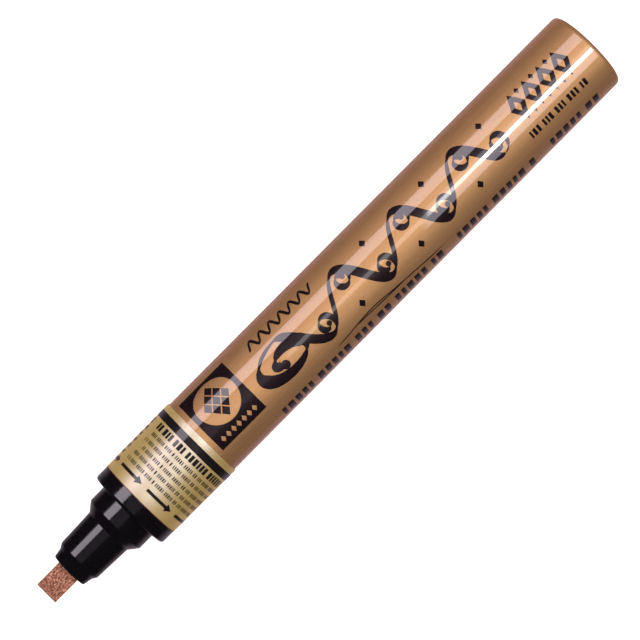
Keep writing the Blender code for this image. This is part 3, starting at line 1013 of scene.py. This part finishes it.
def make_spring(material):
    """The valve spring as a fine coil."""
    front, rear = SPRING_BOX[0].x, SPRING_BOX[1].x
    wire_radius = 0.25 * MM
    radius = (SPRING_BOX[1].y - SPRING_BOX[0].y) / 2 - wire_radius
    turns, steps = 7, 40
    curve = bpy.data.curves.new("coil", "CURVE")
    curve.dimensions = "3D"
    curve.bevel_depth = wire_radius
    curve.bevel_resolution = 3
    curve.use_fill_caps = True
    spline = curve.splines.new("POLY")
    count = turns * steps
    spline.points.add(count)
    span = rear - front - 2 * wire_radius
    # The first and the last turn are closed: each rises by little more than the wire's width.
    closed_rise = 2.4 * wire_radius / span
    for i, point in enumerate(spline.points):
        share = i / count
        if share < 1 / turns:
            rise = share * turns * closed_rise
        elif share > 1 - 1 / turns:
            rise = 1 - (1 - share) * turns * closed_rise
        else:
            rise = closed_rise + (share - 1 / turns) / (1 - 2 / turns) * (1 - 2 * closed_rise)
        turn = 2 * math.pi * turns * share
        x = front + wire_radius + span * rise
        point.co = (x, radius * math.sin(turn), AXIS_Z - radius * math.cos(turn), 1)
    coil = bpy.data.objects.new("coil", curve)
    bpy.context.scene.collection.objects.link(coil)
    bm = bmesh.new()
    bm.from_mesh(bpy.data.meshes.new_from_object(coil))
    # The caps are loose until they are merged with the wire's ends.
    bmesh.ops.remove_doubles(bm, verts=bm.verts, dist=wire_radius / 50)
    bpy.data.objects.remove(coil)
    spring = piece("coil_spring", bm, material, "pen", ["valve_spring"])
    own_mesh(spring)


def make_ball(material):
    """The mixing ball."""
    low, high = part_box("mixing_ball")
    bm = bmesh.new()
    bmesh.ops.create_icosphere(bm, subdivisions=4, radius=(high.x - low.x) / 2)
    bmesh.ops.translate(bm, vec=(low + high) / 2, verts=bm.verts)
    piece("steel_ball", bm, material, "ball", ["mixing_ball"])


# ---------------------------------------------------------------------------------------------
# Floor, light and camera
# ---------------------------------------------------------------------------------------------


def make_floor(material):
    """A pale floor just under the pen, left out of reflections."""
    bm = bmesh.new()
    bmesh.ops.create_grid(bm, x_segments=1, y_segments=1, size=3)
    mesh = bpy.data.meshes.new("floor")
    bm.to_mesh(mesh)
    bm.free()
    mesh.materials.append(material)
    floor = bpy.data.objects.new("floor", mesh)
    bpy.context.scene.collection.objects.link(floor)
    floor.location.z = -0.02 * MM
    floor.visible_glossy = False


def add_softbox(name, place, aim, size, power, colour=(1, 1, 1)):
    """A rectangular light. Its long side, its X, runs along the pen."""
    light = bpy.data.lights.new(name, "AREA")
    light.shape = "RECTANGLE"
    light.size, light.size_y = size
    light.energy = power
    light.color = colour
    obj = bpy.data.objects.new(name, light)
    bpy.context.scene.collection.objects.link(obj)
    obj.location = place
    direction = (Vector(aim) - Vector(place)).normalized()
    long_side = (Vector((1, 0, 0)) - direction * direction.x).normalized()
    other = (-direction).cross(long_side)
    obj.rotation_euler = Matrix((long_side, other, -direction)).transposed().to_euler()
    return obj


def add_world():
    """A dark room over a pale bench: dim above the horizon and brighter below it."""
    world = bpy.data.worlds.new("studio")
    world.use_nodes = True
    nodes, links = world.node_tree.nodes, world.node_tree.links
    split = nodes.new("ShaderNodeSeparateXYZ")
    links.new(nodes.new("ShaderNodeTexCoord").outputs["Generated"], split.inputs["Vector"])
    level = nodes.new("ShaderNodeMapRange")
    level.inputs["From Min"].default_value = -0.8
    level.inputs["From Max"].default_value = -0.4
    level.inputs["To Min"].default_value = 0.4
    level.inputs["To Max"].default_value = 0.035
    links.new(split.outputs["Z"], level.inputs["Value"])
    background = nodes["Background"]
    background.inputs["Color"].default_value = (0.95, 0.74, 0.88, 1)
    links.new(level.outputs["Result"], background.inputs["Strength"])
    bpy.context.scene.world = world


def make_lights():
    """A strip box to one side, dim boxes above, and fills that only matt surfaces show."""
    slant, reach, strip_x = math.radians(38.2), 0.6, 0.03
    strip = (strip_x, reach * math.sin(slant), AXIS_Z + reach * math.cos(slant))
    add_softbox("strip", strip, (strip_x, 0, AXIS_Z), (0.46, 0.304), 1.6, (0.96, 0.86, 0.97))
    height, middle = 0.62, (0, 0, 0)
    add_softbox("overhead", (0, 0, height), middle, (0.5, 0.38), 0.1, (0.95, 0.85, 1))
    # A narrow bar over the rear half and beyond it, brighter towards its end. Only gloss shows it.
    stretches = ((0, 0.08, 0.05), (0.08, 0.11, 0.09), (0.11, 0.33, 2.3))
    for i, (start, end, power) in enumerate(stretches):
        x = (start + end) / 2
        size = (end - start, 0.11)
        bar = add_softbox(f"end_bar_{i}", (x, -0.088, height), (x, 0, 0), size, power)
        bar.visible_diffuse = False
    # Two cooler boxes at its sides, which only gloss shows as well.
    x, length, cool = 0.21, 0.26, (0.88, 0.86, 1)
    boxes = (("end_glow", -0.035, 0.2, 0.3), ("end_wide", -0.26, 0.22, 0.56))
    for name, across, width, power in boxes:
        place = (x, across, height)
        box = add_softbox(name, place, (x, 0, 0), (length, width), power, cool)
        box.visible_diffuse = False
    for name, across in (("fill_near", -0.6), ("fill_far", 0.6)):
        fill = add_softbox(name, (0, across, 0.7), middle, (1.6, 1.2), 14)
        fill.visible_glossy = False
    add_world()
    bpy.context.scene.view_settings.view_transform = "Standard"


def make_camera():
    """The camera stands over the nib's half and looks down at the middle of the pen.

    It is turned so that the pen lies across the view's diagonal.
    """
    camera = bpy.data.cameras.new("camera")
    camera.lens = 162.5
    camera.sensor_width = 36
    camera.clip_end = 20
    obj = bpy.data.objects.new("camera", camera)
    bpy.context.scene.collection.objects.link(obj)
    place = Vector((-0.01735, 0.00012, AXIS_Z + 0.565))
    aim = Vector((0.00025, -0.00028, AXIS_Z))
    slant = math.radians(45.2)
    back = (place - aim).normalized()
    up = Vector((math.sin(slant), math.cos(slant), 0))
    right = up.cross(back).normalized()
    up = back.cross(right)
    obj.rotation_euler = Matrix((right, up, back)).transposed().to_euler()
    obj.location = place
    bpy.context.scene.camera = obj


def finish_inner_nodes(felt, plastic, rubber):
    """Gives the CAD nodes that stay their own finishes."""
    finishes = {
        "ink_buffer": felt,
        "nib_slider": plastic,
        "valve_body": plastic,
        "valve_stem": plastic,
        "valve_cage": plastic,
        "valve_seat": rubber,
        "nose_gasket": rubber,
        "barrel_gasket": rubber,
    }
    for name, material in finishes.items():
        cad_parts[name].material_slots[0].material = material


def build():
    """Makes everything. Collar and nose share a material, and so do the nib and the ink buffer."""
    bronze, foil, black = bronze_lacquer(), gold_foil(), black_plastic()
    felt = inked_felt()
    make_camera()
    make_lights()
    make_floor(floor_paper())
    make_barrel(bronze)
    make_seal_band(foil, foil_edge())
    make_collar(black)
    make_nose(black)
    make_nib(felt)
    make_barrel_print(print_ink())
    make_seal_print(seal_ink())
    make_spring(drawn_wire())
    make_ball(polished_steel())
    finish_inner_nodes(felt, moulded_plastic(), soft_rubber())


build()
